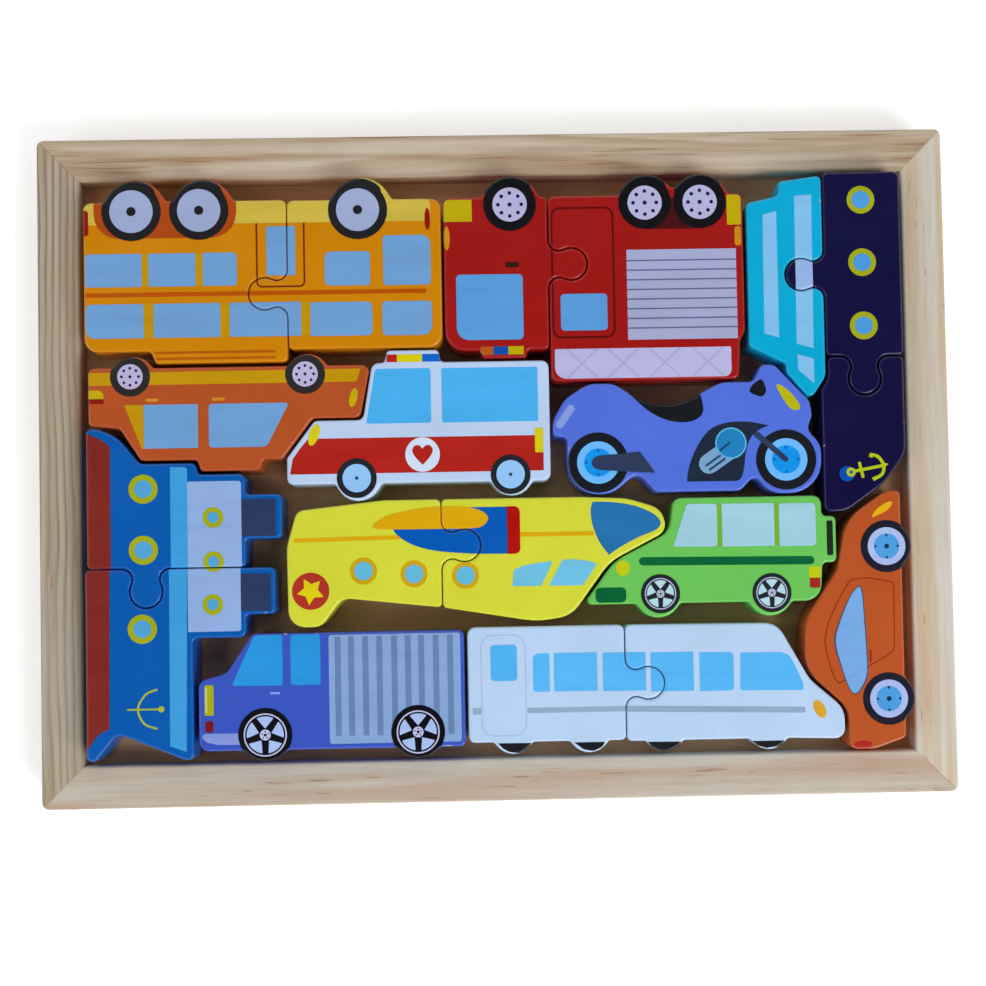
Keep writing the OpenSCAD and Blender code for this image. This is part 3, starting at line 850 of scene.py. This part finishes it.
def steamer(both):
    """A steamer with two funnels that stands on its bow."""
    stern, bow = both[:1], both[1:]
    keel, band = "keel red #7E2620", "strake blue #3E9CDA"
    deck, funnel = "deck lilac #8FAEDF", "funnel slate #2A3A5F"
    with printed(stern, 1, keel):
        top = curve([(-124.8, 7.2), (-126.6, 8.9), (-129.4, 10.5), (-133, 11.8), (-138, 12.2)])
        patch([(-138, -40), (-124.9, -40), *top])
    with printed(bow, 1, keel):
        foot = [(-138, -94), (-133.2, -90.3), (-130.5, -86.6), (-128.4, -84.6), (-125.8, -83.5)]
        patch([(-138, -20), *curve(foot), (-125.2, -20)])
    with printed(stern, 1, band):
        panel(-105.6, -100.1, -45, 0.5, (0, 0, 1.2, 0.2))
    with printed(bow, 1, band):
        patch([(-106.5, -89.3), (-101.2, -91.2), (-100.3, -20), (-106.2, -20)])
    with printed(stern, 1, deck):
        panel(-100.1, -82.8, -45, -4.3, (0, 0, 0.9, 0))
    with printed(bow, 1, deck):
        panel(-100.3, -83.3, -52.8, -20, (0, 0.9, 0, 0))
    with printed(stern, 1, funnel):
        panel(-82.8, -71.7, -22.3, -10.2, (0, 0.5, 0.5, 0))
    with printed(bow, 1, funnel):
        panel(-83.3, -73.6, -46.4, -34.3, (0, 0.5, 0.5, 0))
    brass, glass = "porthole lime #A1A914", "deck porthole blue #51A1D6"
    rounds(both, 2, [(-114.3, -6.5), (-114.4, -26.2), (-115, -51.6)], (4.7, brass), (2.85, glass))
    rounds(both, 2, [(-91.9, -16), (-91.9, -30.3), (-92.3, -44.1)], (3.35, brass), (1.8, glass))
    lime = "anchor thin lime #A6B437"
    with printed(bow, 1, lime):
        fluke = [(-110.6, -71.1), (-114, -72.5), (-116.4, -76), (-116.4, -79), (-114.4, -82.2)]
        stroke(curve([*fluke, (-110.7, -83.6)]), 0.65)
    with printed(bow, 2, lime):
        stroke([(-119.9, -77.4), (-110, -77.4)], 0.55)
        disc(-109.2, -77.4, 1)


def aeroplane(both):
    """An aeroplane with a swept wing, a star in a round and a wide canopy."""
    ochre = "wing ochre #D8A606"
    with printed(both, 1, ochre):
        patch([(-66, -24.7), (-25, -24), (-25, -22.7), (-66, -23.3)], 0.1)
        panel(4, 31, -24, -22.6)
    with printed(both, 2, "wing blue #0258B5"):
        under = [(-34.3, -20.4), (-32.4, -23), (-27.6, -26), (-20, -28.1), (-8, -29.2), (3, -29.4)]
        patch([*curve(under), (3, -14.2), (-9, -14.2), (-20, -17)])
    with printed(both, 2, "wing tip red #AE0F08"):
        panel(2.9, 7.1, -29.5, -14.1, (0.2, 1.8, 1.8, 0.2))
    with printed(both, 3, ochre):
        over = [(-40.3, -20.3), (-38.8, -18.1), (-35, -16.2), (-26, -14.4), (-15, -13.7)]
        over += [(-8, -14.5), (-4.2, -16.1), (-3.2, -18.2), (-5.2, -20.4), (-9, -21), (-20, -21)]
        over += [(-34, -20.9)]
        patch(curve(over, closed=True))
    brass, glass = "porthole ochre #CBA20C", "plane porthole blue #62B8DB"
    centres = [(-43.7, -34.2), (-27.4, -35.4), (-10.8, -36.2)]
    rounds(both, 1, centres, (4.35, brass), (3, glass))
    with printed(both, 1, "plane window blue #6DBEE0"):
        left = [(4.3, -40), (13.6, -40), (17.6, -32.1), (12.5, -32.6), (8, -33.4), (4.9, -34.7)]
        right = [(16.1, -40), (27.1, -40.1), (31.9, -33.2), (29, -32.2), (24.5, -31.6)]
        patch(left, 0.5)
        patch([*right, (20.7, -31.7)], 0.5)
    with printed(both, 1, "canopy blue #2571AD"):
        shell = [(30.8, -13.1), (37, -13.3), (44, -14.5), (50, -17), (52.7, -19.9), (51.2, -22.5)]
        shell += [(45.5, -24.8), (40, -27.6), (35.7, -30.4)]
        post = [(35.7, -30.4), (32.7, -26), (30.7, -20.8), (30.1, -16), (30.8, -13.1)]
        patch(curve(shell) + curve(post)[1:-1])
    with printed(both, 1, "roundel red #AE3225"):
        disc(-60.8, -40.4, 6)
    with printed(both, 2, "star yellow #DFCE12"):
        tips = round_about(-60.8, -40.4, 4.5, 5, 47)
        dips = round_about(-60.8, -40.4, 2.35, 5, 83)
        patch([point for pair in zip(tips, dips) for point in pair])


def estate_car(car):
    """A small green van with windows all round."""
    with printed(car, 1, "strip green #036134"):
        stroke([(46.8, -32.7), (101.1, -33.3)], 2.7)
        panel(31.1, 41.1, -45.9, -41, 1.6)
    with printed(car, 1, "pillar green #75AD27"):
        panel(70, 92, -28.3, -14.5)
    with printed(car, 2, "van window mint #9ECCDD"):
        patch([(56.7, -28.2), (71.1, -28.3), (71.1, -14.4), (61.3, -14.4)], 0.9)
        panel(72.7, 89.7, -28.4, -14.5, 0.2)
        panel(91.3, 103.2, -28.6, -14.7, (0.2, 1.4, 1.4, 0.2))
    with printed(car, 1, "van lamp yellow #C1C70E"):
        oval(40.2, -34.8, 2.2, 2.5)
        panel(100.6, 104.5, -39, -35.4, 0.3)
    with printed(car, 1, "van lamp red #A0251D"):
        panel(100.8, 104.3, -42.3, -39, (0.6, 0.6, 0, 0))
    with printed(car, 1, "slot green black #1B2B21"):
        panel(106.7, 108.7, -31.8, -20.5, 0.5)
    tyre, mint = "tyre slate black #22252D", "wheel mint #B0D6E2"
    gleam = "wheel gleam grey #BAC4DE"
    spoked_wheels(car, 1, [(52.2, -43.3), (88.4, -43.6)], 6.35, tyre, gleam, mint)


def lorry(truck):
    """A box lorry with a ribbed body."""
    with printed(truck, 1, "lorry window blue #2895DD"):
        patch([(-86.6, -70.4), (-70.2, -70.5), (-70.2, -54.3), (-79.2, -54.3)], 0.8)
        panel(-67.6, -58, -70.5, -54.3, 0.9)
    with printed(truck, 1, "box blue #84A4D4"):
        panel(-55.3, -12.9, -89.6, -54.6, 0.8)
    with printed(truck, 2, "rib blue #6583AF"):
        for middle in (-52.4, -48.1, -43.5, -39, -34.2, -29.8, -25.5, -20.8, -16.2):
            panel(middle - 0.95, middle + 0.95, -87.1, -55.2, 0.3)
    with printed(truck, 1, "lorry lamp yellow #A6AA0C"):
        panel(-95.4, -92.4, -79.8, -70, 0.6)
    # A pale line down the lamp's front edge: painted highlight
    with printed(truck, 2, "lamp gleam #C4CC8E"):
        panel(-95, -94.5, -79, -70.8, 0.2)
    with printed(truck, 1, "lorry lamp red #7B1318"):
        panel(-95.2, -92.6, -85.2, -81.5, 0.9)
    with printed(truck, 1, "bumper periwinkle #8295D8"):
        bumper = [(-96.4, -86.6), (-95.6, -85.6), (-84, -85.6), (-84, -89.3), (-91, -89.2)]
        patch([*bumper, (-94.8, -88.4)], 0.5)
    with printed(truck, 1, "handle sky #7FA3F1"):
        panel(-74.3, -71.1, -73.3, -72.6, 0.3)
    tyre, pale = "tyre lorry black #0C0C14", "wheel light blue #A5BFEE"
    gleam = "wheel gleam lilac #C0C4EA"
    spoked_wheels(truck, 3, [(-76, -86.3), (-26.9, -86.3)], 8.65, tyre, gleam, pale)


def train(both):
    """A white express train."""
    rear, nose = both[:1], both[1:]
    with printed(both, 1, "train window blue #56B4F3"):
        panel(10.4, 15.8, -74.2, -61.8, (1, 0.2, 0.2, 2))
        panel(17.2, 31.2, -74.2, -61.8, 0.2)
        panel(33, 46.9, -74.4, -62, 0.2)
        panel(48.5, 62.4, -74.8, -62.2, 0.2)
        panel(64.3, 75.4, -75, -62.5, (0.2, 1.4, 1.4, 0.2))
        cab = [(77.4, -75), (97.8, -75.3), (98, -73.6), (95, -66.4), (93.4, -63.9), (91, -62.9)]
        patch([*cab, (77.6, -62.8)], 0.6)
    with printed(rear, 1, "door line lilac #A8B7E2"):
        panel(-6.4, 8.2, -88.3, -55.6, 4, line=0.3)
    with printed(rear, 2, "train door window #4FB0F0"):
        panel(-3.2, 5.3, -70.5, -58.9, 1.2)
    with printed(rear, 1, "line grey #90A8C2"):
        panel(-9.2, -6.5, -81.1, -79.1)
        panel(8.4, 45, -81, -79.3)
    with printed(nose, 1, "line grey #90A8C2"):
        patch([(38, -79.2), (98.3, -80.7), (98.3, -82.6), (38, -81.1)])
    with printed(nose, 1, "train lamp amber #D6A32C"):
        oval(103, -81.5, 1.75, 3.1, 26)
    with printed(both, 1, "worn tyre black #161A20"):
        first = [(-1.3, -90.5), (9.5, -90.6), (8.4, -92.6), (5.4, -93.8), (2.4, -93.4)]
        second = [(23.3, -90.7), (33.3, -90.7), (32.3, -92.4), (29.5, -93.6), (26.3, -93)]
        third = [(47, -91), (57.8, -91.1), (57.6, -93.4), (54, -94.2), (50.6, -93.9), (48.4, -92.7)]
        last = [(80.8, -91.4), (91.5, -91.4), (90.2, -93.3), (87, -93.5), (85.4, -93.8)]
        for tyre in ([*first, (0.3, -92.2)], second, third, [*last, (82.6, -92.9)]):
            patch(tyre, 0.2)


def sports_car(car):
    """A sports car that stands on its tail."""
    centres = [(126.1, -29.2), (125.6, -78.6)]
    with printed(car, 1, "door line rust #8E2F12"):
        door = [(113.8, -39.8), (118, -39.2), (122, -39.5), (128.3, -40.9), (128, -62.8)]
        door += [(126, -64.5), (109.4, -73.7), (107.8, -71.6), (105.8, -65), (105, -59.5)]
        door += [(106.2, -54), (109.4, -47)]
        patch(door, 0.9, line=0.35)
        stroke([(120, -62.9), (120, -66.3)], 0.6)
    with printed(car, 2, "sports window edge #2D4A78"):
        glass = [(116.6, -42), (117.8, -43.5), (118.3, -50), (118.9, -62), (119, -70)]
        glass += [(117.3, -74.5), (114.8, -77), (112.7, -75), (110.4, -68.5), (108.4, -60.5)]
        glass += [(109.4, -55), (113.6, -45.6)]
        patch(curve(glass, closed=True))
    with printed(car, 3, "sports window blue #75A8E1"):
        inner = [(114 + (x - 114) * 0.93, -60 + (y + 60) * 0.978) for x, y in glass]
        patch(curve(inner, closed=True))
    with printed(car, 4, "window line lilac #8C93D2"):
        stroke([(112.6, -71.8), (118.6, -68.5)], 0.3)
    with printed(car, 1, "headlamp amber #E0AD12"):
        lens = [(121.6, -19.6), (123.3, -17), (126.3, -15.1), (128.3, -14.8), (127.2, -17)]
        patch(curve([*lens, (124.4, -18.7)], closed=True))
    with printed(car, 1, "tail lamp red #AE2722"):
        oval(116.9, -93.3, 3, 1.3)
    tyre, pale = "tyre navy black #1A1A2B", "wheel ice lilac #A6B9E8"
    hub = "wheel centre blue #4A9BDD"
    rounds(car, 2, centres, (8.45, tyre), (6.15, pale), (4.1, hub))
    studs(car, 5, centres, "stud blue black #17304F", 3.6, 4, 0.38, 0.8)


# Each vehicle's drawing, slot, lacquer and blocks
VEHICLES = (
    (bus, "bus_paint", "orange #CB8202", "bus_rear", "bus_front"),
    (fire_engine, "fire_engine_paint", "red #9C1614", "fire_engine_cab", "fire_engine_body"),
    (liner_cabin, "liner_cabin_paint", "cyan #05A8D4", "liner_cabin"),
    (liner_hull, "liner_hull_paint", "navy #120E3E", "liner_stern", "liner_bow"),
    (taxi, "taxi_paint", "burnt orange #B25124", "taxi"),
    (ambulance, "ambulance_paint", "white #B9CFEF", "ambulance"),
    (motorcycle, "motorcycle_paint", "periwinkle #5270DA", "motorcycle"),
    (steamer, "steamer_paint", "blue #0459AE", "steamer_stern", "steamer_bow"),
    (aeroplane, "aeroplane_paint", "yellow #D2D63A", "aeroplane_tail", "aeroplane_nose"),
    (estate_car, "estate_car_paint", "green #6AC258", "estate_car"),
    (lorry, "lorry_paint", "royal blue #3955BE", "lorry"),
    (train, "train_paint", "pale white #B6D0EF", "train_rear", "train_nose"),
    (sports_car, "sports_car_paint", "tan orange #B65325", "sports_car"),
)
for draw, slot, shade, *nodes in VEHICLES:
    for node in nodes:
        blocks[node] = cut_block(node)
    draw(nodes)
    finish_vehicle(nodes, lacquer(shade, LORRY_WEAR if draw is lorry else WEAR))
for tool in skins.values():
    drop(tool)


# ---------------------------------------------------------------- the tray

MITRE_EASE = 0.15 * MM
SHARP = math.radians(30)


def planed_rail(node, material):
    """The rail, its mitres and grooves broken with a pass of fine paper."""
    rail = taken_up(node, f"{node}_planed")
    rail.data.materials.append(material)
    bpy.ops.mesh.dissolve_limited(angle_limit=math.radians(1))
    pick("EDGE", lambda edge: edge.is_manifold and edge.calc_face_angle() > SHARP)
    bpy.ops.mesh.bevel(offset=MITRE_EASE, segments=2, affect="EDGES")
    leave_closed()
    smoothed(rail)
    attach(rail, "tray")
    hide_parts(node)


# Each rail's board, in pine's order: grain, pith, slope, sway and ring_gap, dash and resin, and
# the pale, late and streak colours. The pith lay below the rail's top and to one side of it.
BACK = ("X", (0, -0.091, 0.031), 1.1, 5 * MM, 2.6 * MM, 20 * MM, 0.09)
FRONT = ("X", (0, 0.114, 0.0317), -1.2, 4 * MM, 4 * MM, 9 * MM, 0.0)
LEFT = ("Y", (0.186, 0, 0.004), -0.8, 9 * MM, 2.3 * MM, 7 * MM, 0.0)
RIGHT = ("Y", (-0.129, 0, 0.035), 0.2, 4 * MM, 4 * MM, 8 * MM, -0.05)
# The left rail's colours are darker and the right rail's paler: partly each board's own tone,
# partly painted shade on the left and painted light falling from the right
for side, board, colours in (
    ("back", BACK, ("#CDBFA9", "#B6A085", "#A3835F")),
    ("front", FRONT, ("#C5BDAE", "#BEA28D", "#B89F86")),
    ("left", LEFT, ("#B5AA97", "#8E785F", "#9C8465")),
    ("right", RIGHT, ("#D1CDC3", "#CCBCA2", "#CBB494")),
):
    planed_rail(f"{side}_rail", pine(f"pine planed {side} rail", *board, *colours))

for node, material in (("floor_board", plywood()), ("corner_brads", drawn_steel())):
    mesh = frame["nodes"][node].data
    mesh.materials.clear()
    mesh.materials.append(material)


# ---------------------------------------------------------------- camera, light and ground

# The photograph was taken from above, a little below the tray's middle, with the phone nearly level
CAMERA_PLACE = (-4.42, -44.0, 474.64)
CAMERA_TURN = (1.7653, -0.9121, -1.0684)
CAMERA_SHIFT = (-0.0152, 0.0639)
SENSOR = 36.0
FOCAL_PIXELS = 1400
IMAGE_PIXELS = 986

lens = bpy.data.cameras.new("camera")
lens.sensor_width = SENSOR
lens.lens = SENSOR * FOCAL_PIXELS / IMAGE_PIXELS
lens.shift_x, lens.shift_y = CAMERA_SHIFT
lens.clip_start = 0.01
camera = bpy.data.objects.new("camera", lens)
camera.location = [value * PLAN for value in CAMERA_PLACE]
camera.rotation_euler = [math.radians(value) for value in CAMERA_TURN]
bpy.context.collection.objects.link(camera)
bpy.context.scene.camera = camera


def soft_box(name, place, size, power):
    """A square soft box that faces the tray."""
    light = bpy.data.lights.new(name, "AREA")
    light.shape = "SQUARE"
    light.size = size
    light.energy = power
    box = bpy.data.objects.new(name, light)
    box.location = place
    box.rotation_euler = (-Vector(place)).to_track_quat("-Z", "Y").to_euler()
    bpy.context.collection.objects.link(box)


# Lamps stand low enough that the flat tops don't mirror them to the camera
soft_box("key", (0.75, -0.85, 0.85), 0.7, 12.0)
soft_box("fill", (-0.95, -0.25, 0.8), 0.9, 3.0)
soft_box("back", (-0.15, 1.05, 0.85), 0.9, 2.5)

# How far from the tray's middle the ground's glow starts to rise and is full
GLOW_NEAR = 350 * MM
GLOW_FAR = 900 * MM


def looked_at(add):
    """A node that is 1 for what is seen or mirrored and 0 for what only lights, and the socket that
    is 1 for what the camera sees itself."""
    rays = add("LightPath").outputs
    through = [rays["Is Glossy Ray"], rays["Is Transmission Ray"]]
    mirrored = add("Math", through, operation="MAXIMUM")
    direct = rays["Is Camera Ray"]
    return add("Math", [direct, mirrored], operation="MAXIMUM"), direct


bpy.ops.mesh.primitive_plane_add(size=4.0, location=(0, 0, 0))
ground = bpy.context.object
ground.name = "ground"
paper, add, place = blank("white paper")
tooth = add("TexNoise", {"Vector": place, "Scale": 1 / (0.8 * MM), "Detail": 2.0})
bump = add("Bump", {"Strength": 0.1, "Distance": 0.02 * MM, "Height": tooth})
sheet = add("BsdfDiffuse", {"Color": linear("#F8F8F7"), "Normal": bump})
# Where it is seen or mirrored the paper glows a little, and fully far from the tray, so that it
# comes out white
seen = looked_at(add)[0]
away = add("VectorMath", [place], operation="LENGTH")
level = add("MapRange", [away, GLOW_NEAR, GLOW_FAR, 0.3, 1.0])
lift = add("Math", [seen, level], operation="MULTIPLY")
glow = add("Emission", {"Color": linear(WHITE), "Strength": lift})
add("OutputMaterial", {"Surface": add("AddShader", [sheet, glow])})
ground.data.materials.append(paper)

world = bpy.data.worlds.new("studio")
bpy.context.scene.world = world
world.use_nodes = True
world.node_tree.nodes.clear()
add = partial(add_node, world.node_tree)
seen, direct = looked_at(add)
way = add("TexCoord").outputs["Generated"]
rise = add("SeparateXYZ", {"Vector": way}).outputs["Z"]
# Seen or mirrored, the room is white, but for a dark ceiling where the flat tops mirror it
mirror = add("MapRange", [rise, 0.6, 0.9, 1.0, 0.03])
shown = add("Math", [direct, mirror], operation="MAXIMUM")
white = add("Background", {"Color": linear(WHITE), "Strength": shown})
# The light that the room gives comes from its walls, hardly from its ceiling
walls = add("MapRange", [rise, 0.82, 0.93, 0.64, 0.04])
lit = add("Background", {"Color": linear(WHITE), "Strength": walls})
add("OutputWorld", {"Surface": add("MixShader", [seen, lit, white])})

bpy.context.scene.view_settings.view_transform = "Standard"
